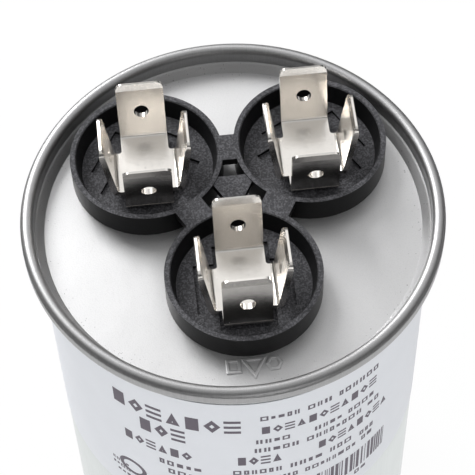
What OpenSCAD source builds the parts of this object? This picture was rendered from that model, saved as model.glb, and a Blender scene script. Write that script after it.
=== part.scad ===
// Dual motor run capacitor in a round can: three four-blade quick-connect
// terminals in a moulded three-cup insulator on a double-seamed cover.
// Z = 0 is the foot of the can and the Z axis is the can's axis.
// The fan cup lies towards -Y, the common and compressor cups towards +Y.

/* [Can] */
// Outside diameter of the can wall
can_d = 52.1; // [52:0.1:60]
// Height from the foot of the can to the top of the rim
case_h = 79.4; // [60:0.1:130]
// Thickness of the can wall
can_wall = 0.3; // [0.25:0.01:0.3]
// Outside radius where the wall turns into the base
base_r = 2; // [1:0.1:2.4]

/* [Rim and cover] */
// Width of the rolled rim from inner lip to outer edge
rim_w = 1.75; // [1.7:0.05:2.1]
// Height of the rolled rim
rim_h = 2.5; // [2.3:0.1:3.2]
// How far the rim stands out past the can wall
rim_out = 1.95; // [1.9:0.05:2.3]
// Thickness of the cover sheet
cover_t = 0.3; // [0.25:0.01:0.3]
// Depth of the cover's flat below the top of the rim
cover_drop = 3.5; // [3.2:0.1:6]
// Height of the sloping shoulder at the edge of the flat
shoulder_h = 1.1; // [0.8:0.1:1.6]
// Distance from the outside of the can to the edge of the flat
cover_inset = 0.95; // [0.9:0.05:1]

/* [Terminal block] */
// Outside diameter of each moulded cup
cup_d = 20.5; // [19.8:0.1:20.5]
// Height of a cup above the cover
cup_h = 3.9; // [3.2:0.1:5]
// Wall of a cup at its top
cup_wall = 0.8; // [0.7:0.05:1]
// Added thickness of a cup's wall at its floor
cup_draft = 0.6; // [0.2:0.1:0.8]
// Thickness of a cup's floor
cup_floor = 1; // [0.8:0.05:1.2]
// Depth of the cross-shaped recess in a cup's floor
recess_t = 0.5; // [0.2:0.05:0.6]
// Length of the recess from one arm's end to the other
recess_len = 12.8; // [12:0.1:13.4]
// Width of the recess's arms
recess_w = 7.4; // [7:0.1:8.4]
// How far the recess sits outward from its cup's centre
recess_shift = 0.3; // [0:0.1:0.5]
// Broken edge inside the top of a cup
cup_edge = 0.15; // [0.1:0.05:0.3]
// Distance between the centres of the two rear cups
rear_pitch = 22; // [21.2:0.1:22]
// Distance from the front cup's centre to the line of the rear cups
front_reach = 19.8; // [19:0.1:20.5]
// Distance from the can's axis to the line of the rear cups
rear_y = 9.5; // [8.8:0.1:9.5]
// How far the block sits to the side of the can's axis
block_shift = 0.4; // [0:0.05:0.4]
// Width of the three bars that join the cups
web_w = 4.1; // [3:0.1:5]
// Thickness of the bars
web_t = 1.2; // [0.8:0.1:2]
// Gap between each bar and the middle plate
bar_gap = 2.5; // [1.5:0.1:2.8]
// How far the top of the middle plate lies below the bars
middle_drop = 0.2; // [0.1:0.05:0.4]
// Diameter of the boss that passes through the cover
boss_d = 8; // [7:0.1:9]
// Free width between the boss and its hole in the cover
boss_gap = 0.1; // [0.05:0.05:0.3]

/* [Terminals] */
// Thickness of the terminal sheet
tab_t = 0.8; // [0.7:0.01:0.9]
// Width of a quick-connect blade
tab_w = 6.35; // [6.2:0.05:6.5]
// Length of a blade above the plate
tab_len = 8.9; // [8:0.1:10]
// Distance between the inner faces of the front and back blades
plate_len = 10.8; // [10:0.1:11.4]
// Distance between the inner faces of the two side blades
plate_w = 8.2; // [7.6:0.1:9]
// Inside radius of the folds
fold_r = 0.5; // [0.3:0.1:0.8]
// Radius in the notches behind the side blades
notch_r = 0.4; // [0.2:0.1:0.6]
// Diameter of the hole in a blade
tab_hole_d = 2; // [1.6:0.1:2.2]
// Distance from a blade's tip to its hole
tab_hole_in = 4.6; // [3.8:0.1:5]
// Radius of the corners at a blade's tip
tip_r = 0.9; // [0.5:0.1:1.4]
// Length of the bevel on both faces of the tip
tip_bevel = 0.9; // [0.4:0.1:1.2]
// Thickness of a blade at its tip
tip_t = 0.32; // [0.2:0.02:0.5]
// How far the side blades sit ahead of the plate's middle
side_shift = 0.5; // [0:0.1:0.8]
// How far a terminal sits ahead of its cup's centre
terminal_shift = 0.6; // [0:0.05:0.8]
// How far a terminal sits to the side of its cup's centre
terminal_side = 0.1; // [0:0.05:0.5]
// Outward lean of the back blades in degrees
lean_back = 12; // [0:1:15]
// Outward lean of the side blades in degrees
lean_side = 8; // [0:1:10]
// Outward lean of the front blades over the rear cups
lean_front = 7; // [0:1:10]
// Inward lean of the front blade over the fan cup
lean_fan_front = 6; // [0:1:8]

/* [Rivets and seals] */
// Diameter of a rivet's shank
rivet_d = 3.2; // [2.8:0.1:4]
// Diameter of a rivet's head under the terminal
rivet_head_d = 6.4; // [5:0.1:7]
// Thickness of a rivet's head
rivet_head_t = 0.6; // [0.5:0.05:0.8]
// Diameter of the closed end of a rivet
rivet_tail_d = 4.8; // [4.2:0.1:5.4]
// Thickness of the closed end of a rivet
rivet_tail_t = 0.6; // [0.4:0.1:0.8]
// Free width around a rivet's shank
rivet_gap = 0.05; // [0.02:0.01:0.1]
// Outside diameter of a gasket under the cover
gasket_d = 13; // [11:0.1:14]
// Thickness of a gasket under the cover
gasket_t = 0.8; // [0.6:0.1:1.2]
// Diameter of the round end of a solder lug
lug_d = 10.4; // [9.6:0.1:11]
// Thickness of a solder lug
lug_t = 0.6; // [0.4:0.1:0.8]
// Reach of a solder lug's tail from the rivet
lug_reach = 8; // [7.5:0.1:8.5]

/* [Winding] */
// Diameter of the bore down the middle of the winding
core_bore = 7.6; // [7:0.1:9]
// Wall of the core tube
core_wall = 1.2; // [0.8:0.1:1.6]
// Free width between the wrapped winding and the can
winding_gap = 1.1; // [0.8:0.1:3]
// Thickness of the film barrier between the two sections
barrier_t = 0.4; // [0.3:0.05:0.6]
// Build of the fan section over the barrier
fan_build = 1.2; // [0.8:0.05:1.3]
// Thickness of the outer wrap
wrap_t = 0.6; // [0.4:0.05:0.8]
// Thickness of the sprayed metal on the winding's ends
spray_t = 0.8; // [0.5:0.1:1.2]
// Free width between pieces wound or slid over one another
slide_gap = 0.05; // [0.02:0.01:0.1]
// Thickness of the insulating cup under the winding
base_cup_t = 1.2; // [0.8:0.1:2]
// Height of the ring that the winding stands on
base_ring_h = 3.4; // [2.6:0.1:4.5]
// Inside radius of the ring that the winding stands on
ring_in_r = 12; // [10:0.5:14]
// Wall of the ring that the winding stands on
ring_wall = 6; // [2:0.5:7]
// Height of the cup's lip beside the wrap
cup_lip_h = 3; // [1:0.5:8]
// Free width between the insulating cup and the can
cup_fit = 0.4; // [0.3:0.05:0.5]
// Thickness of the interrupter disc
disc_t = 1.6; // [1.2:0.1:2.4]
// Free width between the interrupter disc and the cover's shoulder
disc_fit = 0.2; // [0.1:0.05:0.4]
// Wall of the interrupter disc's raised rim
disc_wall = 1.2; // [0.8:0.1:2]
// Space between the cover and the interrupter disc
disc_drop = 3.6; // [3.4:0.1:5]
// Space between the interrupter disc and the winding's end
disc_foot = 2; // [1.8:0.1:3]
// Width of a lead strip
lead_w = 4; // [3:0.1:4.4]
// Thickness of a lead strip
lead_t = 0.4; // [0.3:0.05:0.5]
// Length of a lead's foot under its lug
lead_grip = 2.4; // [2:0.1:3]
// Length of a lead's foot on the sprayed end of its section
lead_foot_len = 3; // [2:0.1:4]
// Reach of the common lead beyond the core, under the winding
lead_reach = 4; // [3:0.1:6]
// Free width around a lead in its window through the disc
window_edge = 1; // [0.5:0.1:1.5]

/* [Label] */
// Thickness of the printed film
label_t = 0.06; // [0.04:0.01:0.08]
// Thickness of the glue under the film
glue_t = 0.02; // [0.01:0.01:0.03]
// Height of the label
label_h = 35.2; // [20:0.1:48]
// Distance from the top of the rim to the label
label_drop = 6; // [5.5:0.1:8]
// Gap between the label's two ends at the back
label_slit = 0.6; // [0.3:0.1:2]

/* [Hidden] */
$fn = 96;

// Radii of the can and of the five layers of the seam, from the inside out
can_r = can_d / 2;
bore_r = can_r - can_wall;
rim_r = can_r + rim_out;
lip_r = rim_r - rim_w;
seam_gap = (rim_w - 3 * cover_t - 2 * can_wall) / 4;
wall_in_r = lip_r + cover_t + seam_gap;
wall_out_r = wall_in_r + can_wall;
hook_in_r = wall_out_r + seam_gap;
hook_out_r = hook_in_r + cover_t;
flange_in_r = hook_out_r + seam_gap;
flange_out_r = flange_in_r + can_wall;
arch_r = rim_w / 2;
arch_x = rim_r - arch_r;
curl_r = (rim_r - hook_in_r) / 2;
curl_x = rim_r - curl_r;

// Heights of the rim and cover
arch_z = case_h - arch_r;
curl_z = case_h - rim_h + curl_r;
cover_z = case_h - cover_drop;
cover_under = cover_z - cover_t;
flat_r = can_r - cover_inset;

// The shoulder slopes by this much outward for each unit of height
slope = (lip_r - flat_r) / shoulder_h;
stretch = sqrt(1 + slope * slope);

// Places of the three cups and the directions of their solder lugs
cup_common = [block_shift + rear_pitch / 2, rear_y];
cup_herm = [block_shift - rear_pitch / 2, rear_y];
cup_fan = [block_shift, rear_y - front_reach];
cups = [cup_common, cup_herm, cup_fan];
turn_common = atan2(-cup_common[1], -cup_common[0]);
turn_herm = atan2(-cup_herm[1], -cup_herm[0]);
turn_fan = -90;
cup_r = cup_d / 2;
cup_in_r = cup_r - cup_wall;
floor_r = cup_in_r - cup_draft;
cup_top = cover_z + cup_h;
floor_z = cover_z + cup_floor;
recess_z = floor_z - recess_t;
boss_r = boss_d / 2;

// The three cups are turned by a third of a circle from one another
recess_turns = [120, -120, 0];

// Outer radius of a fold in the terminal sheet, and its slight thickening
fold_mid = fold_r + tab_t;
fold_swell = 0.01;

// Heights of the riveted stack
head_z = recess_z + rivet_head_t;
gasket_z = cover_under - gasket_t;
lug_z = gasket_z - lug_t;
tail_z = lug_z - rivet_tail_t;
rivet_r = rivet_d / 2;
rivet_hole_r = rivet_r + rivet_gap;

// Winding and its supports
disc_top = cover_under - disc_drop;
disc_z = disc_top - disc_t;
spray_top = disc_z - disc_foot;
wind_top = spray_top - spray_t;
spray_z = can_wall + base_cup_t + base_ring_h;
wind_z = spray_z + spray_t;
core_in_r = core_bore / 2;
core_out_r = core_in_r + core_wall;
herm_in_r = core_out_r + slide_gap;
wrap_r = bore_r - winding_gap;
wrap_in_r = wrap_r - wrap_t;
fan_r = wrap_in_r - slide_gap;
fan_in_r = fan_r - fan_build;
barrier_r = fan_in_r - slide_gap;
herm_r = barrier_r - barrier_t - slide_gap;

// Places of the leads along their lugs, from the rivet outward
foot_s = lug_reach - 2 * lead_grip / 3;
axis_s = norm(cup_common);
fan_ring_s = (fan_in_r + fan_r) / 2 + cup_fan[1];

// Half of a ring, above or below its centre line
module half_ring(x, z, r, t, up) {
    translate([x, z]) intersection() {
        difference() {
            circle(r);
            circle(r - t);
        }
        translate([-r, up ? 0 : -r]) square([2 * r, r]);
    }
}

// A rectangle given by its two radii and two heights
module band(r1, r2, z1, z2) {
    translate([r1, z1]) square([r2 - r1, z2 - z1]);
}

// Radius of the shoulder's sloping face, pushed outward by a thickness
function shoulder_x(z, out) = flat_r + (z - cover_z) * slope + out * stretch;

// Height at which that sloping face reaches a radius
function shoulder_z(x, out) = cover_z + (x - flat_r - out * stretch) / slope;

// Drawn can whose flange is rolled into the seam
module can_profile() {
    near = cover_t + seam_gap;
    far = near + can_wall;
    wall_top = shoulder_z(can_r, far);
    difference() {
        union() {
            band(0, can_r, base_r, wall_top);
            band(0, can_r - base_r, 0, base_r);
            translate([can_r - base_r, base_r]) circle(base_r);
        }
        band(-1, bore_r, base_r, case_h);
        band(-1, can_r - base_r, can_wall, base_r + 1);
        translate([can_r - base_r, base_r]) circle(base_r - can_wall);
    }
    polygon([[bore_r, wall_top - 1], [can_r, wall_top - 1],
        [can_r, wall_top], [wall_out_r, shoulder_z(wall_out_r, far)],
        [wall_out_r, arch_z], [wall_in_r, arch_z],
        [wall_in_r, shoulder_z(wall_in_r, near)],
        [bore_r, shoulder_z(bore_r, near)]]);
    half_ring(arch_x, arch_z, arch_r - cover_t - seam_gap, can_wall, true);
    band(flange_in_r, flange_out_r, curl_z, arch_z);
}

// Cover sheet: flat, shoulder, chuck wall and the curl that holds the flange
module cover_profile() {
    under_x = shoulder_x(cover_under, cover_t);
    polygon([[0, cover_under], [under_x, cover_under],
        [lip_r + cover_t, shoulder_z(lip_r + cover_t, cover_t)],
        [lip_r + cover_t, arch_z], [lip_r, arch_z],
        [lip_r, cover_z + shoulder_h], [flat_r, cover_z], [0, cover_z]]);
    half_ring(arch_x, arch_z, arch_r, cover_t, true);
    band(rim_r - cover_t, rim_r, curl_z, arch_z);
    half_ring(curl_x, curl_z, curl_r, cover_t, false);
    band(hook_in_r, hook_out_r, curl_z, arch_z - seam_gap);
}

module can() {
    color("#aeb6ba") rotate_extrude() intersection() {
        can_profile();
        band(0, rim_r, 0, case_h);
    }
}

module cover() {
    color("#d9d8d4") difference() {
        rotate_extrude() cover_profile();
        for (c = cups)
            translate([c[0], c[1], cover_under - 1])
                cylinder(r = boss_r + boss_gap, h = cover_t + 2);
    }
}

module label() {
    top = case_h - label_drop;
    in_r = can_r + glue_t;
    color("#cfccda") difference() {
        rotate_extrude() band(in_r, in_r + label_t, top - label_h, top);
        translate([-label_slit / 2, 0, top - label_h - 1])
            cube([label_slit, can_d, label_h + 2]);
    }
}

// A straight band between two cup centres
module bar(a, b, width) {
    d = b - a;
    translate(a) rotate(atan2(d[1], d[0]))
        translate([0, -width / 2]) square([norm(d), width]);
}

module bars(width) {
    bar(cup_common, cup_herm, width);
    bar(cup_herm, cup_fan, width);
    bar(cup_common, cup_fan, width);
}

// Three-sided middle plate, kept clear of the bars and joined to the cups
module middle_outline() {
    difference() {
        polygon(cups);
        bars(web_w + 2 * bar_gap);
    }
}

// One moulded cup with its floor and the broken edge at its top
module cup_profile() {
    polygon([[0, cover_z], [cup_r, cover_z], [cup_r, cup_top],
        [cup_in_r + cup_edge, cup_top], [cup_in_r, cup_top - cup_edge],
        [floor_r, floor_z], [0, floor_z]]);
}

// Cross-shaped recess that takes the foot of a terminal
module recess() {
    for (w = [[recess_len, recess_w], [recess_w, recess_len]])
        translate([-w[0] / 2, -w[1] / 2 - recess_shift, recess_z])
            cube([w[0], w[1], cup_h]);
}

module terminal_block() {
    color("#3a3b3d") difference() {
        union() {
            difference() {
                translate([0, 0, cup_top - web_t]) {
                    linear_extrude(web_t) bars(web_w);
                    linear_extrude(web_t - middle_drop) middle_outline();
                }
                for (c = cups)
                    translate([c[0], c[1], cover_z])
                        cylinder(r = cup_r - cup_wall / 2, h = cup_h + 1);
            }
            for (c = cups) translate([c[0], c[1], 0]) {
                rotate_extrude() cup_profile();
                translate([0, 0, gasket_z])
                    cylinder(r = boss_r, h = recess_z - gasket_z);
            }
        }
        for (i = [0 : 2]) translate([cups[i][0], cups[i][1], 0]) {
            rotate(recess_turns[i]) recess();
            translate([0, 0, gasket_z - 1])
                cylinder(r = rivet_hole_r, h = cup_h + gasket_t + 2);
        }
    }
}

// Outline of a blade: width along X, length along Y, round corners at the tip
module blade_outline(len) {
    w = tab_w / 2;
    translate([-w, 0]) square([tab_w, len - tip_r]);
    translate([tip_r - w, 0]) square([tab_w - 2 * tip_r, len]);
    for (s = [-1, 1]) translate([s * (w - tip_r), len - tip_r]) circle(tip_r);
}

// A flat blade with bevelled tip and its hole, thickness along Z
module blade(len) {
    thin = (tab_t - tip_t) / 2;
    difference() {
        intersection() {
            linear_extrude(tab_t) blade_outline(len);
            translate([tab_w / 2, 0, 0]) rotate([90, 0, -90])
                linear_extrude(tab_w) polygon([[0, 0], [-len + tip_bevel, 0],
                    [-len, thin], [-len, tab_t - thin],
                    [-len + tip_bevel, tab_t], [0, tab_t]]);
        }
        translate([0, len - tab_hole_in, -1])
            cylinder(d = tab_hole_d, h = tab_t + 2);
    }
}

// Distance from the corner of two inner faces to the start of their fold
function setback(fold) = round(1000 * fold_r * tan(fold / 2)) / 1000;

// Wedge of a ring between two straight pieces that meet at a fold
module fold_ring(fold) {
    k = 3 * fold_mid;
    intersection() {
        translate([-tab_w / 2, 0, 0]) rotate([90, 0, 90])
            linear_extrude(tab_w) difference() {
                circle(fold_mid + fold_swell);
                circle(fold_r - fold_swell);
            }
        translate([-tab_w, 0, -k]) cube([2 * tab_w, k, 2 * k]);
        rotate([fold, 0, 0]) translate([-tab_w, -k, -k])
            cube([2 * tab_w, k, 2 * k]);
    }
}

// Fold and blade at the edge of a plate whose inner face is at y = 0
module folded_blade(fold) {
    set = setback(fold);
    translate([0, -set, fold_mid]) {
        fold_ring(fold);
        rotate([fold, 0, 0]) translate([0, 0, -fold_mid])
            blade(tab_len - set);
    }
}

// Flat part between the four folds, with round notches behind the side blades
module plate_outline(fold_back, fold_front) {
    back = plate_len / 2 - setback(fold_back);
    front = plate_len / 2 - setback(fold_front);
    side = plate_w / 2 - setback(90 - lean_side);
    r = min(notch_r, side - tab_w / 2);
    translate([-tab_w / 2, -front]) square([tab_w, front + back]);
    translate([-side, -tab_w / 2 - side_shift]) square([2 * side, tab_w]);
    for (s = [-1, 1]) translate([s * tab_w / 2, tab_w / 2 - side_shift])
        difference() {
            square(2 * r, center = true);
            translate([s * r, r]) circle(r);
        }
}

// One four-blade terminal folded from a single sheet, on its rivet's head
module terminal(place, front_lean) {
    fold_back = 90 - lean_back;
    fold_front = 90 - front_lean;
    fold_side = 90 - lean_side;
    translate([place[0] - terminal_side, place[1] - terminal_shift, head_z]) {
        linear_extrude(tab_t) plate_outline(fold_back, fold_front);
        translate([0, plate_len / 2, 0]) folded_blade(fold_back);
        translate([0, -plate_len / 2, 0]) rotate(180)
            folded_blade(fold_front);
        for (s = [-1, 1])
            translate([s * plate_w / 2, -side_shift, 0]) rotate(-90 * s)
                folded_blade(fold_side);
    }
}

module terminal_common() { color("#e4e2dd") terminal(cup_common, lean_front); }
module terminal_herm() { color("#e4e2dd") terminal(cup_herm, lean_front); }
module terminal_fan() { color("#e4e2dd") terminal(cup_fan, -lean_fan_front); }

// Rivet: head welded under the terminal, shank, and end closed on the lug
module rivet(place) {
    translate([place[0], place[1], 0]) rotate_extrude() {
        band(0, rivet_head_d / 2, recess_z, head_z);
        band(0, rivet_r, tail_z, head_z);
        band(0, rivet_tail_d / 2, tail_z, lug_z);
    }
}

module rivet_common() { color("#c9c7c2") rivet(cup_common); }
module rivet_herm() { color("#c9c7c2") rivet(cup_herm); }
module rivet_fan() { color("#c9c7c2") rivet(cup_fan); }

// Rubber ring round the boss, squeezed between cover and lug
module gasket(place) {
    translate([place[0], place[1], 0]) rotate_extrude()
        band(boss_r + slide_gap, gasket_d / 2, gasket_z, cover_under);
}

module gasket_common() { color("#2b2b2b") gasket(cup_common); }
module gasket_herm() { color("#2b2b2b") gasket(cup_herm); }
module gasket_fan() { color("#2b2b2b") gasket(cup_fan); }

// Solder lug under the gasket with a straight tail
module lug(place, turn) {
    translate([place[0], place[1], lug_z]) rotate(turn) difference() {
        union() {
            cylinder(d = lug_d, h = lug_t);
            translate([0, -lead_w / 2, 0]) cube([lug_reach, lead_w, lug_t]);
        }
        translate([0, 0, -1]) cylinder(r = rivet_hole_r, h = lug_t + 2);
    }
}

module lug_common() { color("#c8a85a") lug(cup_common, turn_common); }
module lug_herm() { color("#c8a85a") lug(cup_herm, turn_herm); }
module lug_fan() { color("#c8a85a") lug(cup_fan, turn_fan); }

// A strip cut from a side view drawn in the plane of its lug's tail
module strip(place, turn) {
    translate([place[0], place[1], 0]) rotate(turn)
        translate([0, lead_w / 2, 0]) rotate([90, 0, 0])
            linear_extrude(lead_w) children();
}

// Foot under a lug's tail
module lead_foot() {
    band(lug_reach - lead_grip, lug_reach, lug_z - lead_t, lug_z);
}

// The common lead runs to the axis and down the core to the far end
module lead_common() {
    low = spray_z - lead_t;
    out_s = axis_s + core_out_r + lead_reach;
    color("#d6d3cc") strip(cup_common, turn_common) {
        lead_foot();
        band(foot_s, axis_s + lead_t / 2, lug_z - lead_t, lug_z);
        band(axis_s - lead_t / 2, axis_s + lead_t / 2, low, lug_z);
        band(axis_s - lead_t / 2, out_s, low, spray_z);
    }
}

module lead_herm() {
    color("#d6d3cc") strip(cup_herm, turn_herm) {
        lead_foot();
        band(foot_s, foot_s + lead_t, spray_top, lug_z);
        band(foot_s - lead_foot_len, foot_s + lead_t,
            spray_top, spray_top + lead_t);
    }
}

module lead_fan() {
    run = spray_top + disc_foot / 2;
    color("#d6d3cc") strip(cup_fan, turn_fan) {
        lead_foot();
        band(foot_s, foot_s + lead_t, run, lug_z);
        band(foot_s, fan_ring_s, run, run + lead_t);
        band(fan_ring_s - lead_t, fan_ring_s, spray_top, run + lead_t);
    }
}

// Window in the disc for a lead
module window(place, turn) {
    translate([place[0], place[1], disc_z - 1]) rotate(turn)
        translate([foot_s - window_edge, -lead_w / 2 - window_edge, 0])
            cube([lead_t + 2 * window_edge, lead_w + 2 * window_edge,
                disc_t + 2]);
}

// Disc held under the cover by its rim and standing on the wrap by its skirt
module interrupter_disc() {
    edge_r = shoulder_x(cover_under, cover_t) - disc_fit;
    color("#e6e2d4") difference() {
        rotate_extrude() {
            band(core_in_r, edge_r, disc_z, disc_top);
            band(edge_r - disc_wall, edge_r, disc_z, cover_under);
            band(wrap_in_r, wrap_r, spray_top, disc_top);
        }
        window(cup_herm, turn_herm);
        window(cup_fan, turn_fan);
    }
}

module core_tube() {
    color("#efe9da") rotate_extrude()
        band(core_in_r, core_out_r, spray_z, spray_top);
}

module winding_herm() {
    color("#d8cfae") rotate_extrude()
        band(herm_in_r, herm_r, wind_z, wind_top);
}

module section_barrier() {
    color("#f2efe6") rotate_extrude()
        band(herm_r + slide_gap, barrier_r, wind_z, spray_top);
}

module winding_fan() {
    color("#d8cfae") rotate_extrude()
        band(fan_in_r, fan_r, wind_z, wind_top);
}

module outer_wrap() {
    color("#cdbf93") rotate_extrude()
        band(wrap_in_r, wrap_r, spray_z, spray_top);
}

// Sprayed metal over the whole lower end, inside the wrap
module end_spray_common() {
    color("#9fa3a6") rotate_extrude()
        band(herm_in_r, fan_r, spray_z, wind_z);
}

module end_spray_herm() {
    color("#9fa3a6") rotate_extrude()
        band(herm_in_r, herm_r, wind_top, spray_top);
}

module end_spray_fan() {
    color("#9fa3a6") rotate_extrude()
        band(fan_in_r, fan_r, wind_top, spray_top);
}

// Cup under the winding: dished edge, ring that carries it, centring lip
module base_cup() {
    flat = can_r - base_r - cup_fit;
    edge = bore_r - cup_fit;
    lip = wrap_r + slide_gap;
    lip_z = spray_z + cup_lip_h;
    color("#e9e4d6") rotate_extrude() {
        polygon([[0, can_wall], [flat, can_wall], [edge, base_r],
            [edge, lip_z], [lip, lip_z], [lip, spray_z],
            [wrap_in_r, spray_z], [wrap_in_r, can_wall + base_cup_t],
            [0, can_wall + base_cup_t]]);
        band(ring_in_r, ring_in_r + ring_wall, can_wall, spray_z);
    }
}

can();
cover();
label();
terminal_block();
terminal_common();
terminal_herm();
terminal_fan();
rivet_common();
rivet_herm();
rivet_fan();
gasket_common();
gasket_herm();
gasket_fan();
lug_common();
lug_herm();
lug_fan();
lead_common();
lead_herm();
lead_fan();
interrupter_disc();
core_tube();
winding_herm();
section_barrier();
winding_fan();
outer_wrap();
end_spray_common();
end_spray_herm();
end_spray_fan();
base_cup();
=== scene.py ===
import math
import random

import bmesh
import bpy
from bpy.props import FloatProperty, FloatVectorProperty, PointerProperty
from mathutils import Matrix, Vector


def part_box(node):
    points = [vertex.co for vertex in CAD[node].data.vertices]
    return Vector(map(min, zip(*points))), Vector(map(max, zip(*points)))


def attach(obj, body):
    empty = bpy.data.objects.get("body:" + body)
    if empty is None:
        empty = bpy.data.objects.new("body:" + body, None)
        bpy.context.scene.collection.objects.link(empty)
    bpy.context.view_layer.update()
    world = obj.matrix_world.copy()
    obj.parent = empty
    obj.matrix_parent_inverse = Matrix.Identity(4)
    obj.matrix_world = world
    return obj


bl_info = {
    "name": "Run capacitor dresser",
    "version": (1, 0, 0),
    "blender": (4, 5, 0),
    "location": "3D View > Sidebar > Capacitor",
    "description": "Finishes, label print, cover stamp and studio for a round dual run capacitor",
    "category": "Object",
}

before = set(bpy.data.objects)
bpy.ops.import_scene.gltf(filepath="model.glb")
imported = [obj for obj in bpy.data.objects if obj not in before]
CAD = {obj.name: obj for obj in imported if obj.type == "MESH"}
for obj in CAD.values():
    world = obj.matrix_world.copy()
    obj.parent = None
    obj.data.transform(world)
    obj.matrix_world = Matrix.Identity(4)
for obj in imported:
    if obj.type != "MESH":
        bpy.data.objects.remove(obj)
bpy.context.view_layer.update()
MM = 0.001


def centre_of(node):
    """Middle of a CAD node's box."""
    low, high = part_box(node)
    return (low + high) / 2


def outer_radius(node):
    """Half of a round CAD node's width."""
    low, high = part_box(node)
    return (high.x - low.x) / 2


RIM_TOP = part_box("cover")[1].z
RIM_R = outer_radius("cover")
COVER_DROP = 3.5 * MM
COVER_Z = RIM_TOP - COVER_DROP
LABEL_R = outer_radius("label")
LABEL_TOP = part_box("label")[1].z
FAN_X = centre_of("rivet_fan").x

# The stage: corners of its round sheets, the floor's radius, and how much the floor glows by
# itself for the camera and in reflections.
ROUND_CORNERS = 96
FLOOR_R = 1.5
FLOOR_GLOW = 0.95

# Each lamp's name, the setting with its power, its width, its share in soft light, and its place.
LAMPS = (
    ("rear_box", "key", 0.42, 0.15, (-0.34, 0.56, 0.54)),
    ("front_box", "fill", 0.4, 1.0, (0.08, -0.60, 0.14)))

# Parts of the studio's dome that metal reflects. Each pair says where a part fades in or out, as
# the upward, backward or forward share of a direction. The levels are brightnesses.
SKY_FOOT = (0.45, 0.78)
PANEL_FOOT = (0.40, 0.52)
PANEL_HEAD = (0.87, 0.94)
PANEL_BACK = (0.10, 0.35)
FRONT = (0.35, 0.75)
FRONT_SHADE = 0.85
SKY_LEVEL = 0.60
PANEL_LEVEL = 0.60

# The label's print. A row starts and ends at angles from the front, in degrees, and its middle
# hangs below the label's top. Drops, heights and widths are in millimetres.
PRINT_SEED = 7
BEND_STEP = 0.8 * MM
HEADING_H = 3.4

# Start, end, drop, height and number of shapes.
BOLD_ROWS = (
    (-44.3, -3.7, 6.15, HEADING_H, 7), (-35.6, -20.2, 10.55, 3.3, 3), (-41.5, -18.7, 16.0, 2.3, 6),
    (1.2, 40.0, 7.6, 1.9, 11), (-6.0, 8.0, 16.1, 2.3, 4), (18.7, 45.8, 16.3, 1.9, 8))

# Start, end, drop and height.
SMALL_ROWS = (
    (1.4, 42.0, 4.3, 1.15), (0.0, 10.0, 10.7, 1.1), (17.7, 37.7, 11.0, 1.1),
    (-0.5, 39.6, 13.2, 1.15), (-7.0, 30.9, 19.5, 1.2), (34.2, 41.9, 20.3, 1.1),
    (-3.0, 39.6, 22.2, 1.1), (22.0, 37.0, 31.8, 1.1), (-29.6, -16.0, 19.6, 1.35),
    (-27.0, -16.5, 22.0, 1.35), (-48.0, -42.5, 27.0, 0.8), (-48.0, -42.5, 28.4, 0.8),
    (-46.5, -34.0, 30.0, 0.8))

# Start, end and drop of the upright bars, then the bars' widths and the gaps between them.
CODE_ROW = (9.0, 45.5, 27.8)
CODE_BARS = (0.12, 0.12, 0.2, 0.3, 0.5)
CODE_GAPS = (0.18, 0.25, 0.4)

# Angle, drop, width, height and line width of the ring, and its corners.
RING_MARK = (-40.0, 26.4, 4.6, 4.4, 0.7)
RING_CORNERS = 32

# The stamped mark: place in the row and number of corners of each shape, and the bevel of its
# lines as a share of their height.
STAMP_SHAPES = ((-1, 4), (0, 3), (1, 6))
STAMP_BEVEL = 0.6


def length(name, description, default, **limits):
    """A length property in metres."""
    return FloatProperty(name=name, description=description, default=default,
                         subtype="DISTANCE", unit="LENGTH", **limits)


def angle(name, description, degrees):
    """An angle property, given in degrees."""
    return FloatProperty(name=name, description=description, default=math.radians(degrees),
                         subtype="ANGLE", unit="ROTATION")


def tint(name, description, default):
    """A linear colour property."""
    return FloatVectorProperty(name=name, description=description, default=default,
                               subtype="COLOR", size=3, min=0, max=1)


class FinishSettings(bpy.types.PropertyGroup):
    """Colours of the finishes."""
    tinplate: tint("Tinplate", "Colour of the cover and the rolled rim", (0.66, 0.66, 0.665))
    aluminium: tint("Aluminium", "Colour of the drawn can", (0.72, 0.755, 0.75))
    moulding: tint("Moulding", "Colour of the terminal block", (0.046, 0.046, 0.050))
    blade_tin: tint("Blade tin", "Colour of the plated terminals", (0.88, 0.85, 0.81))
    film: tint("Label film", "Colour of the label", (0.73, 0.75, 0.79))
    ink: tint("Ink", "Colour of the label's print", (0.095, 0.078, 0.105))
    rubber: tint("Rubber", "Colour of the gaskets", (0.028, 0.027, 0.027))
    brass: tint("Brass", "Colour of the solder lugs", (0.72, 0.52, 0.26))
    solder: tint("Solder tin", "Colour of the rivets and the lead strips", (0.70, 0.69, 0.66))
    disc: tint("Disc plastic", "Colour of the interrupter disc", (0.78, 0.74, 0.62))
    natural: tint("Natural plastic", "Colour of the core tube and the base cup", (0.76, 0.72, 0.62))
    winding: tint("Wound film", "Colour of the wound film", (0.66, 0.60, 0.44))
    wrap: tint("Wrap", "Colour of the film over the winding", (0.60, 0.50, 0.30))
    zinc: tint("Sprayed zinc", "Colour of the sprayed ends", (0.42, 0.43, 0.44))


class PrintSettings(bpy.types.PropertyGroup):
    """Sizes of the print on the label."""
    ink_t: length("Ink thickness", "How far the print stands on the film", 0.015 * MM)
    stroke: length("Stroke", "Width of a line in the heading, less in lower rows", 0.62 * MM)
    code_h: length("Bar height", "Height of the row of upright bars", 5.4 * MM)


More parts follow.
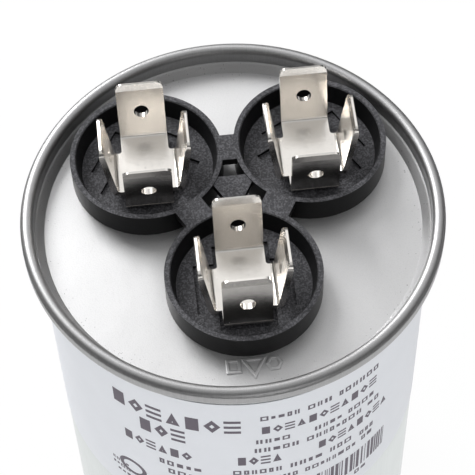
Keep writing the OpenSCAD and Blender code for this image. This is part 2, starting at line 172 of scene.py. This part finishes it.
class StampSettings(bpy.types.PropertyGroup):
    """Sizes of the stamped mark on the cover."""
    mark_h: length("Mark height", "Height of the stamped shapes", 2.1 * MM)
    mark_w: length("Mark width", "Width of one stamped shape", 2.0 * MM)
    pitch: length("Pitch", "From one stamped shape to the next", 2.6 * MM)
    ridge_w: length("Ridge width", "Width of a stamped line", 0.50 * MM)
    ridge_t: length("Ridge height", "How far a stamped line stands up", 0.20 * MM)
    gap: length("Distance from the cup", "From the fan cup's wall to the mark", 0.25 * MM)


class StudioSettings(bpy.types.PropertyGroup):
    """Camera and lamps."""
    distance: length("Distance", "From the camera to the middle of the rim", 242.4 * MM)
    azimuth: angle("Azimuth", "Turn of the camera about the can's axis", -4.0)
    elevation: angle("Elevation", "Height of the camera above the rim", 56.03)
    pan: angle("Pan", "Small turn of the view to the side", -0.117)
    tilt: angle("Tilt", "Small turn of the view down", -0.941)
    roll: angle("Roll", "Small turn of the view about its own axis", 2.318)
    lens: FloatProperty(name="Lens", description="Focal length in millimetres", default=139.87)
    ambient: FloatProperty(name="Ambient", description="Strength of the even light", default=0.96)
    key: FloatProperty(name="Key", description="Power of the rear lamp in watts", default=4.2)
    fill: FloatProperty(name="Fill", description="Power of the front lamp in watts", default=0.35)
    dusk: FloatProperty(name="Dusk", description="Level of the low surroundings in reflections",
                        default=0.06)
    paper: tint("Paper", "Colour of the floor", (0.94, 0.94, 0.94))
    card_z: length("Card height", "Height of the black card over the floor", 30 * MM)
    card_in: length("Card bore", "Inner radius of the black card", 75 * MM)
    card_out: length("Card reach", "Outer radius of the black card", 300 * MM)


class CapacitorSettings(bpy.types.PropertyGroup):
    """All settings of the dresser."""
    finish: PointerProperty(type=FinishSettings)
    label_print: PointerProperty(type=PrintSettings)
    stamp: PointerProperty(type=StampSettings)
    studio: PointerProperty(type=StudioSettings)


class Wire:
    """A shader socket or a number that adds Math nodes when it is used in an expression."""

    def __init__(self, finish, socket):
        self.finish = finish
        self.socket = socket

    def _math(self, operation, *values):
        return self.finish.add("ShaderNodeMath", {"operation": operation}, dict(enumerate(values)))

    def __add__(self, other):
        return self._math("ADD", self, other)

    __radd__ = __add__

    def __sub__(self, other):
        return self._math("SUBTRACT", self, other)

    def __rsub__(self, other):
        return self._math("SUBTRACT", other, self)

    def __mul__(self, other):
        return self._math("MULTIPLY", self, other)

    __rmul__ = __mul__

    def __truediv__(self, other):
        return self._math("DIVIDE", self, other)

    def __lt__(self, other):
        return self._math("LESS_THAN", self, other)

    def __pow__(self, other):
        return self._math("POWER", self, other)

    def __abs__(self):
        return self._math("ABSOLUTE", self)

    def fraction(self):
        """What is left after the whole number."""
        return self._math("FRACT", self)

    def above(self, low, high):
        """0 below low, 1 above high, smooth between them."""
        return self.finish.add("ShaderNodeMapRange", {"interpolation_type": "SMOOTHSTEP"},
                               {"Value": self, "From Min": low, "From Max": high})


class Nodes:
    """A node tree that is filled from code."""

    def __init__(self, holder):
        holder.use_nodes = True
        self.tree = holder.node_tree
        self.tree.nodes.clear()

    def add(self, kind, settings=None, sockets=None, out=0):
        """Adds a node: first its settings, then the values or links of its sockets."""
        node = self.tree.nodes.new(kind)
        for name, value in (settings or {}).items():
            setattr(node, name, value)
        for name, value in (sockets or {}).items():
            if isinstance(value, Wire):
                self.tree.links.new(value.socket, node.inputs[name])
            else:
                node.inputs[name].default_value = value
        return Wire(self, node.outputs[out])

    def xyz(self, vector):
        """The three parts of a vector."""
        node = self.tree.nodes.new("ShaderNodeSeparateXYZ")
        self.tree.links.new(vector.socket, node.inputs[0])
        return [Wire(self, socket) for socket in node.outputs]

    def rays(self):
        """1 for rays from the camera, and 1 for rays that come off metal or through glass."""
        node = self.tree.nodes.new("ShaderNodeLightPath")
        seen, mirror, glass = (Wire(self, node.outputs[name]) for name in (
            "Is Camera Ray", "Is Glossy Ray", "Is Transmission Ray"))
        return seen, mirror + glass


class Finish(Nodes):
    """A procedural material: one Principled shader and the nodes that vary it."""

    def __init__(self, name, colour, **constants):
        self.material = bpy.data.materials.new(name)
        super().__init__(self.material)
        self.colour = (*colour, 1)
        self.output = self.tree.nodes.new("ShaderNodeOutputMaterial")
        self.shader = self.tree.nodes.new("ShaderNodeBsdfPrincipled")
        self.tree.links.new(self.shader.outputs[0], self.output.inputs["Surface"])
        self.shader.inputs["Base Color"].default_value = self.colour
        for socket, value in constants.items():
            self.shader.inputs[socket.replace("_", " ")].default_value = value

    def feed(self, **wires):
        """Links wires to sockets of the Principled shader."""
        for name, wire in wires.items():
            self.tree.links.new(wire.socket, self.shader.inputs[name.replace("_", " ")])
        return self

    def place(self):
        """Position on the object."""
        return self.add("ShaderNodeTexCoord", out="Object")

    def vector(self, x, y, z):
        """A vector from three parts."""
        return self.add("ShaderNodeCombineXYZ", sockets={0: x, 1: y, 2: z})

    def round_place(self):
        """Distance from the can's axis, angle about it, and height."""
        x, y, z = self.xyz(self.place())
        radius = (x * x + y * y) ** 0.5
        turn = self.add("ShaderNodeMath", {"operation": "ARCTAN2"}, {0: x, 1: y})
        return radius, turn, z

    def noise(self, size, detail=2.0, place=None):
        """Soft noise from 0 to 1 whose blobs are about size across."""
        return self.add("ShaderNodeTexNoise", sockets={
            "Vector": place or self.place(), "Scale": 1 / size, "Detail": detail,
            "Roughness": 0.55})

    def specks(self, size):
        """Distance from the nearest of many scattered points, 0 at a point."""
        return self.add("ShaderNodeTexVoronoi",
                        sockets={"Vector": self.place(), "Scale": 1 / size})

    def mix(self, mask, first, second):
        """Colour that goes from first to second as mask goes from 0 to 1."""
        return self.add("ShaderNodeMix", {"data_type": "RGBA"},
                        {0: mask, 6: first, 7: second}, out=2)

    def shade(self, amount):
        """The finish's own colour, darker or lighter by a factor."""
        return tuple(min(1, part * amount) for part in self.colour[:3]) + (1,)

    def bump(self, height, depth, strength):
        """Normal of a surface whose relief goes from 0 to depth."""
        return self.add("ShaderNodeBump",
                        sockets={"Height": height, "Distance": depth, "Strength": strength})

    def facing_up(self):
        """1 where the surface lies flat, 0 on upright walls."""
        normal = self.add("ShaderNodeNewGeometry", out="Normal")
        return abs(self.xyz(normal)[2]).above(0.55, 0.8)


def tinplate(colours):
    """Satin tinplate: grained flat, brushed rim, pits where the sheet was drawn round its edge; the
    whole rim band also gets a painted shade that darkens it.
    """
    made = Finish("tinplate", colours.tinplate, Metallic=1.0)
    radius, turn, height = made.round_place()
    rim_edge = RIM_R - 1.7 * MM
    drawn_edge = RIM_R - 3.2 * MM
    rim = radius.above(rim_edge - 0.3 * MM, rim_edge)
    grain = made.noise(0.16 * MM, 1.0)
    cloud = made.noise(9 * MM, 2.0)
    streak = made.noise(1.0, 3.0, made.vector(turn * 240, radius * 400, height * 400))
    edge = radius.above(drawn_edge - 2.0 * MM, drawn_edge) * (1 - rim)
    pit = edge * (made.specks(0.55 * MM) < made.noise(2.4 * MM) * 0.42 - 0.09)
    # Besides the pits and the grain, the rim band is darkened as a whole: a painted shade that
    # tones down its reflections. The streaks on the rim are its brushing.
    dark = pit * 0.7 + abs(grain - 0.5) * 0.5 + rim * (streak * 0.3 + 0.3)
    made.feed(
        Base_Color=made.mix(dark, made.shade(1.04), made.shade(0.45)),
        Roughness=0.42 + grain * 0.06 + cloud * 0.05 - rim * 0.09 + rim * streak * 0.10,
        Normal=made.bump(grain * 1.3 + streak * rim * 0.9 + cloud * (1 - rim) * 6, 0.02 * MM, 0.6))
    return made.material


def drawn_aluminium(colours):
    """Drawn can wall: fine lines along the draw, soft clouds."""
    made = Finish("drawn_aluminium", colours.aluminium, Metallic=1.0)
    radius, turn, height = made.round_place()
    line = made.noise(1.0, 3.0, made.vector(turn * 90, radius * 40, height * 30))
    cloud = made.noise(7 * MM, 3.0)
    made.feed(
        Base_Color=made.mix(line * 0.5 + cloud * 0.3, made.shade(1.05), made.shade(0.78)),
        Roughness=0.26 + line * 0.12 + cloud * 0.06,
        Normal=made.bump(line, 0.01 * MM, 0.6))
    return made.material


def moulded_plastic(colours):
    """Charcoal moulding: spark-eroded grain on flats, smoother upright walls; the flats are painted
    lighter and the upright walls get a painted shade near black.
    """
    made = Finish("moulded_plastic", colours.moulding, Specular_IOR_Level=0.18)
    flat = made.facing_up()
    grain = made.noise(0.30 * MM, 2.0)
    fleck = made.noise(0.24 * MM, 1.0).above(0.42, 0.66)
    cloud = made.noise(5 * MM, 2.0)
    # Painted light and shade: flats are lighter and upright walls near black, whatever the lamps
    # do. The flecks and clouds on the flats are the moulding's own grain and tone.
    painted_flat_light_and_flecks = flat * (0.20 + fleck * 0.32 + cloud * 0.1)
    made.feed(
        Base_Color=made.mix(painted_flat_light_and_flecks, made.shade(0.1), made.shade(4.6)),
        Roughness=0.30 + flat * 0.20 + grain * 0.10,
        Normal=made.bump(grain * flat + grain * 0.08, 0.12 * MM, 0.9))
    return made.material


def bright_tin(colours):
    """Bright tin plate on the blades: soft rolling lines, handling marks, slight waviness."""
    made = Finish("bright_tin", colours.blade_tin, Metallic=1.0)
    x, y, z = made.xyz(made.place())
    roll = made.noise(1.0, 2.0, made.vector(x * 2600, y * 160, z * 160))
    wave = made.noise(2.6 * MM, 2.0)
    mark = made.noise(0.5 * MM, 3.0).above(0.62, 0.78)
    made.feed(
        Base_Color=made.mix(mark * 0.35 + roll * 0.10, made.shade(1.07), made.shade(0.72)),
        Roughness=0.17 + roll * 0.07 + wave * 0.08,
        Normal=made.bump(wave * 5 + roll * 0.25, 0.012 * MM, 0.7))
    return made.material


def label_film(colours):
    """Printed film: faint cockle and a satin face."""
    made = Finish("label_film", colours.film, Coat_Weight=0.12, Coat_Roughness=0.3,
                  Specular_IOR_Level=0.3)
    cockle = made.noise(6 * MM, 2.0)
    fibre = made.noise(0.3 * MM, 2.0)
    made.feed(
        Base_Color=made.mix(cockle * 0.5 + fibre * 0.2, made.shade(1.06), made.shade(0.93)),
        Roughness=0.5 + fibre * 0.1,
        Normal=made.bump(cockle, 0.05 * MM, 0.4))
    return made.material


def printing_ink(colours):
    """Screened ink: slightly uneven cover."""
    made = Finish("printing_ink", colours.ink)
    cover = made.noise(0.25 * MM, 2.0)
    made.feed(
        Base_Color=made.mix(cover * 0.6, made.shade(0.8), made.shade(1.7)),
        Roughness=0.45 + cover * 0.1)
    return made.material


def matte(name, colour, size, spread, roughness, depth, **constants):
    """A plain material with grain: size of its blobs, spread of shades, depth of its relief."""
    made = Finish(name, colour, **constants)
    grain = made.noise(size, 3.0)
    made.feed(
        Base_Color=made.mix(grain, made.shade(1 + spread), made.shade(1 - spread)),
        Roughness=roughness + grain * 0.12,
        Normal=made.bump(grain, depth, 0.6))
    return made.material


def wound_film(name, colour, pitch):
    """Rolled film: the fine turns of a spiral on the ends, one line down the side."""
    made = Finish(name, colour)
    radius, turn, _ = made.round_place()
    layer = ((radius + turn * pitch * 0.16) / pitch).fraction()
    shine = made.noise(3 * MM, 2.0)
    made.feed(
        Base_Color=made.mix(layer * 0.5 + shine * 0.3, made.shade(1.1), made.shade(0.7)),
        Roughness=0.32 + shine * 0.15,
        Normal=made.bump(layer, 0.03 * MM, 0.5))
    return made.material


def settings():
    """The dresser's settings in the open scene."""
    return bpy.context.scene.capacitor


def dress(material, *nodes):
    """Gives CAD nodes a material in every slot of their objects."""
    for node in nodes:
        piece = CAD[node]
        if not piece.material_slots:
            piece.data.materials.append(material)
        for holder in piece.material_slots:
            holder.material = material


def each(kind):
    """The three nodes of one kind."""
    return [kind + "_" + place for place in ("common", "herm", "fan")]


def new_piece(name, bm, material):
    """Turns a bmesh into a finished piece of the object."""
    mesh = bpy.data.meshes.new(name)
    bmesh.ops.recalc_face_normals(bm, faces=bm.faces)
    bm.to_mesh(mesh)
    bm.free()
    piece = bpy.data.objects.new(name, mesh)
    bpy.context.scene.collection.objects.link(piece)
    mesh.materials.append(material)
    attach(piece, "root")
    return piece


def flat_bar(bm, x, z, width, height):
    """Adds an upright rectangle with its middle at x, z, cut finely enough to bend."""
    columns = max(1, math.ceil(width / BEND_STEP))
    placed = Matrix.Translation((x, 0, z)) @ Matrix.Rotation(math.pi / 2, 4, "X")
    sized = placed @ Matrix.Diagonal((width, height, 1, 1))
    bmesh.ops.create_grid(bm, x_segments=columns, y_segments=1, size=0.5, matrix=sized)


def flat_ring(bm, x, z, width, height, stroke, corners, on_point=False):
    """Adds an upright frame of straight sides, with a side or a corner on top."""
    half = 0 if on_point else math.pi / corners
    grown = 1 / math.cos(half)
    made = bmesh.ops.create_circle(bm, cap_ends=True, segments=corners, radius=0.5 * grown)
    face = made["verts"][0].link_faces[0]
    turned = Matrix.Rotation(math.pi / 2, 4, "X") @ Matrix.Rotation(half, 4, "Z")
    bmesh.ops.transform(bm, matrix=turned, verts=made["verts"])
    sized = Matrix.Translation((x, 0, z)) @ Matrix.Diagonal((width, 1, height, 1))
    bmesh.ops.transform(bm, matrix=sized, verts=made["verts"])
    bmesh.ops.inset_region(bm, faces=[face], thickness=stroke, use_even_offset=True,
                           use_boundary=True)
    bmesh.ops.delete(bm, geom=[face], context="FACES_ONLY")


def thicken(bm, depth):
    """Gives flat upright shapes a thickness towards the front; returns their front corners."""
    lifted = bmesh.ops.extrude_face_region(bm, geom=list(bm.faces))
    fronts = [item for item in lifted["geom"] if isinstance(item, bmesh.types.BMVert)]
    bmesh.ops.translate(bm, verts=fronts, vec=(0, -depth, 0))
    return fronts


def wrap_round(bm, radius):
    """Bends upright shapes round the can's axis."""
    for vert in bm.verts:
        turn = vert.co.x / radius
        reach = radius - vert.co.y
        vert.co = Vector((reach * math.sin(turn), -reach * math.cos(turn), vert.co.z))


def arc(degrees):
    """Distance along the label for an angle from the front."""
    return LABEL_R * math.radians(degrees)


def hang(drop):
    """Height of what lies some millimetres below the label's top."""
    return LABEL_TOP - drop * MM


def word_row(bm, dice, start, end, z, height):
    """A row of small blocks of uneven width, with wider gaps between groups."""
    stroke = height * 0.22
    space = height * 0.3
    group_space = height * 0.7
    x = arc(start)
    left = dice.randint(3, 7)
    while x < arc(end):
        width = height * dice.uniform(0.5, 0.95)
        kind = dice.random()
        if kind < 0.45:
            flat_ring(bm, x + width / 2, z, width, height, stroke, 4)
        elif kind < 0.7:
            for side in (-1, 1):
                flat_bar(bm, x + width * (0.5 + side * 0.3), z, width * 0.34, height)
        else:
            flat_bar(bm, x + width / 2, z, width * 0.9, height * dice.uniform(0.55, 0.95))
        x += width + space
        left -= 1
        if left == 0:
            x += group_space
            left = dice.randint(3, 8)


def bold_row(bm, start, end, z, height, stroke, count):
    """A heading of plain bold shapes: blocks, diamonds, stacked bars and triangles in turn."""
    pitch = (arc(end) - arc(start)) / count
    width = pitch * 0.84
    for index in range(count):
        x = arc(start) + pitch * (index + 0.5)
        kind = index % 4
        if kind == 0:
            flat_bar(bm, x, z, width * 0.8, height)
        elif kind == 1:
            flat_ring(bm, x, z, width, height, stroke, 4, on_point=True)
        elif kind == 2:
            for level in (-1, 0, 1):
                flat_bar(bm, x, z + level * (height - stroke) / 2, width, stroke)
        else:
            flat_ring(bm, x, z - height * 0.12, width, height * 1.25, stroke, 3, on_point=True)


def bar_code(bm, dice, start, end, z, height):
    """Upright bars of uneven width."""
    x = arc(start)
    while x < arc(end):
        width = dice.choice(CODE_BARS) * MM
        flat_bar(bm, x + width / 2, z, width, height)
        x += width + dice.choice(CODE_GAPS) * MM


class CAPACITOR_OT_studio(bpy.types.Operator):
    """Make the camera, the lamps, the floor and the surroundings"""
    bl_idname = "capacitor.studio"
    bl_label = "Studio"

    def execute(self, context):
        studio = settings().studio
        self.make_camera(context, studio)
        self.make_lamps(context, studio)
        self.make_floor(context, studio)
        self.make_card(context, studio)
        self.make_world(context, studio)
        context.scene.view_settings.view_transform = "Standard"
        return {"FINISHED"}

    def make_camera(self, context, studio):
        """Camera that circles the middle of the rim and is then turned a little off it."""
        target = Vector((0, 0, RIM_TOP))
        back = Vector((math.sin(studio.azimuth) * math.cos(studio.elevation),
                       -math.cos(studio.azimuth) * math.cos(studio.elevation),
                       math.sin(studio.elevation)))
        camera = bpy.data.objects.new("camera", bpy.data.cameras.new("camera"))
        camera.data.lens = studio.lens
        camera.data.clip_end = 10
        turn = (-back).to_track_quat("-Z", "Y").to_matrix().to_4x4()
        turn = turn @ Matrix.Rotation(studio.pan, 4, "Y") @ Matrix.Rotation(studio.tilt, 4, "X")
        turn = turn @ Matrix.Rotation(-studio.roll, 4, "Z")
        camera.matrix_world = Matrix.Translation(target + back * studio.distance) @ turn
        context.scene.collection.objects.link(camera)
        context.scene.camera = camera

    def make_lamps(self, context, studio):
        """Round soft lamps that face the middle of the rim."""
        for name, power, size, spread, place in LAMPS:
            lamp = bpy.data.lights.new(name, "AREA")
            lamp.energy = getattr(studio, power)
            lamp.shape = "DISK"
            lamp.size = size
            lamp.diffuse_factor = spread
            holder = bpy.data.objects.new(name, lamp)
            holder.location = place
            aim = Vector((0, 0, RIM_TOP)) - Vector(place)
            holder.rotation_euler = aim.to_track_quat("-Z", "Y").to_euler()
            context.scene.collection.objects.link(holder)

    def make_sheet(self, context, name, bm, finish):
        """Turns a bmesh into a piece of the stage."""
        mesh = bpy.data.meshes.new(name)
        bm.to_mesh(mesh)
        bm.free()
        mesh.materials.append(finish.material)
        sheet = bpy.data.objects.new(name, mesh)
        context.scene.collection.objects.link(sheet)
        return sheet

    def make_floor(self, context, studio):
        """Pale round floor that glows for the camera and in reflections."""
        made = Finish("floor_paper", studio.paper, Roughness=0.9)
        seen, mirror = made.rays()
        paper = Wire(made, made.shader.outputs[0])
        glow = made.add("ShaderNodeEmission",
                        sockets={"Color": (1, 1, 1, 1), "Strength": 1.0})
        both = made.add("ShaderNodeMixShader",
                        sockets={0: (seen + mirror) * FLOOR_GLOW, 1: paper, 2: glow})
        made.tree.links.new(both.socket, made.output.inputs["Surface"])
        bm = bmesh.new()
        bmesh.ops.create_circle(bm, cap_ends=True, segments=ROUND_CORNERS, radius=FLOOR_R)
        self.make_sheet(context, "floor", bm, made)

    def make_card(self, context, studio):
        """Dark ring card round the can, seen only in reflections: it draws the rim's dark edge."""
        made = Finish("black_card", (studio.dusk,) * 3, Roughness=0.9)
        bm = bmesh.new()
        raised = Matrix.Translation((0, 0, studio.card_z))
        rings = [bmesh.ops.create_circle(bm, segments=ROUND_CORNERS, radius=radius,
                                         matrix=raised)["verts"]
                 for radius in (studio.card_in, studio.card_out)]
        edges = {edge for ring in rings for vert in ring for edge in vert.link_edges}
        bmesh.ops.bridge_loops(bm, edges=list(edges))
        card = self.make_sheet(context, "black_card", bm, made)
        card.visible_camera = card.visible_diffuse = card.visible_shadow = False

    def make_world(self, context, studio):
        """Even light on the object, a white backdrop, and a dome with a panel for reflections."""
        world = bpy.data.worlds.new("studio_world")
        context.scene.world = world
        made = Nodes(world)
        seen, mirror = made.rays()
        _, back, height = made.xyz(made.add("ShaderNodeTexCoord", out="Generated"))
        front = (back * -1).above(*FRONT)
        panel = height.above(*PANEL_FOOT) * (1 - height.above(*PANEL_HEAD))
        panel = panel * back.above(*PANEL_BACK)
        sky = height.above(*SKY_FOOT) * (1 - front * FRONT_SHADE) * SKY_LEVEL
        shown = (sky + panel * PANEL_LEVEL) * (1 - studio.dusk) + studio.dusk
        level = seen + mirror * shown + (1 - seen - mirror) * studio.ambient
        glow = made.add("ShaderNodeBackground", sockets={"Strength": level})
        output = made.tree.nodes.new("ShaderNodeOutputWorld")
        made.tree.links.new(glow.socket, output.inputs["Surface"])


class CAPACITOR_OT_case(bpy.types.Operator):
    """Finish the can, the cover and the label"""
    bl_idname = "capacitor.case"
    bl_label = "Can, cover and label"

    def execute(self, context):
        colours = settings().finish
        dress(drawn_aluminium(colours), "can")
        dress(tinplate(colours), "cover")
        dress(label_film(colours), "label")
        return {"FINISHED"}


class CAPACITOR_OT_block(bpy.types.Operator):
    """Finish the terminal block and the blades"""
    bl_idname = "capacitor.block"
    bl_label = "Block and terminals"

    def execute(self, context):
        colours = settings().finish
        dress(moulded_plastic(colours), "terminal_block")
        dress(bright_tin(colours), *each("terminal"))
        return {"FINISHED"}


class CAPACITOR_OT_inside(bpy.types.Operator):
    """Finish the pieces inside the can"""
    bl_idname = "capacitor.inside"
    bl_label = "Inner pieces"

    def execute(self, context):
        colours = settings().finish
        metal = {"Metallic": 1.0}
        dress(matte("tinned_steel", colours.solder, 0.4 * MM, 0.08, 0.28, 0.01 * MM, **metal),
              *each("rivet"))
        dress(matte("tinned_strip", colours.solder, 0.7 * MM, 0.10, 0.30, 0.01 * MM, **metal),
              *each("lead"))
        dress(matte("lug_brass", colours.brass, 0.5 * MM, 0.10, 0.26, 0.01 * MM, **metal),
              *each("lug"))
        dress(matte("sprayed_zinc", colours.zinc, 0.25 * MM, 0.30, 0.62, 0.08 * MM, Metallic=0.6),
              *each("end_spray"))
        dress(matte("gasket_rubber", colours.rubber, 0.3 * MM, 0.20, 0.70, 0.03 * MM),
              *each("gasket"))
        dress(matte("disc_plastic", colours.disc, 0.9 * MM, 0.05, 0.45, 0.02 * MM),
              "interrupter_disc")
        dress(matte("natural_plastic", colours.natural, 1.1 * MM, 0.05, 0.42, 0.02 * MM),
              "base_cup", "core_tube")
        dress(wound_film("wound_film", colours.winding, 0.35 * MM), "winding_herm", "winding_fan")
        dress(wound_film("wrap_film", colours.wrap, 0.2 * MM), "outer_wrap", "section_barrier")
        return {"FINISHED"}


class CAPACITOR_OT_label_print(bpy.types.Operator):
    """Lay rows of plain shapes, upright bars and a ring on the label"""
    bl_idname = "capacitor.label_print"
    bl_label = "Label print"

    def execute(self, context):
        sizes = settings().label_print
        dice = random.Random(PRINT_SEED)
        bm = bmesh.new()
        for start, end, drop, height, count in BOLD_ROWS:
            stroke = sizes.stroke * height / HEADING_H
            bold_row(bm, start, end, hang(drop), height * MM, stroke, count)
        for start, end, drop, height in SMALL_ROWS:
            word_row(bm, dice, start, end, hang(drop), height * MM)
        start, end, drop = CODE_ROW
        bar_code(bm, dice, start, end, hang(drop), sizes.code_h)
        place, drop, width, height, stroke = RING_MARK
        flat_ring(bm, arc(place), hang(drop), width * MM, height * MM, stroke * MM, RING_CORNERS)
        thicken(bm, sizes.ink_t)
        wrap_round(bm, LABEL_R)
        new_piece("label_print", bm, printing_ink(settings().finish))
        return {"FINISHED"}


class CAPACITOR_OT_cover_stamp(bpy.types.Operator):
    """Raise a plain stamped mark on the cover beside the fan cup"""
    bl_idname = "capacitor.cover_stamp"
    bl_label = "Stamped mark"

    def execute(self, context):
        sizes = settings().stamp
        bm = bmesh.new()
        for place, corners in STAMP_SHAPES:
            flat_ring(bm, place * sizes.pitch, 0, sizes.mark_w, sizes.mark_h, sizes.ridge_w,
                      corners)
        fronts = set(thicken(bm, sizes.ridge_t))
        tops = [edge for edge in bm.edges
                if set(edge.verts) <= fronts and len(edge.link_faces) == 2]
        bmesh.ops.bevel(bm, geom=tops, offset=sizes.ridge_t * STAMP_BEVEL, segments=2,
                        profile=0.5, affect="EDGES", material=-1)
        cup_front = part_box("terminal_block")[0].y
        place = Vector((FAN_X, cup_front - sizes.gap - sizes.mark_h / 2, COVER_Z))
        bm.transform(Matrix.Translation(place) @ Matrix.Rotation(-math.pi / 2, 4, "X"))
        new_piece("cover_stamp", bm, tinplate(settings().finish))
        return {"FINISHED"}


STEPS = (CAPACITOR_OT_studio, CAPACITOR_OT_case, CAPACITOR_OT_block, CAPACITOR_OT_inside,
         CAPACITOR_OT_label_print, CAPACITOR_OT_cover_stamp)
GROUPS = (FinishSettings, PrintSettings, StampSettings, StudioSettings, CapacitorSettings)


class CAPACITOR_PT_panel(bpy.types.Panel):
    """Lists the steps and the settings"""
    bl_label = "Run capacitor"
    bl_space_type = "VIEW_3D"
    bl_region_type = "UI"
    bl_category = "Capacitor"

    def draw(self, context):
        for step in STEPS:
            self.layout.operator(step.bl_idname)
        for group in ("finish", "label_print", "stamp", "studio"):
            box = self.layout.box()
            values = getattr(settings(), group)
            for name in values.__annotations__:
                box.prop(values, name)


def register():
    for item in GROUPS + STEPS + (CAPACITOR_PT_panel,):
        bpy.utils.register_class(item)
    bpy.types.Scene.capacitor = PointerProperty(type=CapacitorSettings)


def unregister():
    del bpy.types.Scene.capacitor
    for item in reversed(GROUPS + STEPS + (CAPACITOR_PT_panel,)):
        bpy.utils.unregister_class(item)


def main():
    """Runs every step in order."""
    register()
    for step in STEPS:
        group, name = step.bl_idname.split(".")
        getattr(getattr(bpy.ops, group), name)()


if __name__ == "__main__":
    main()
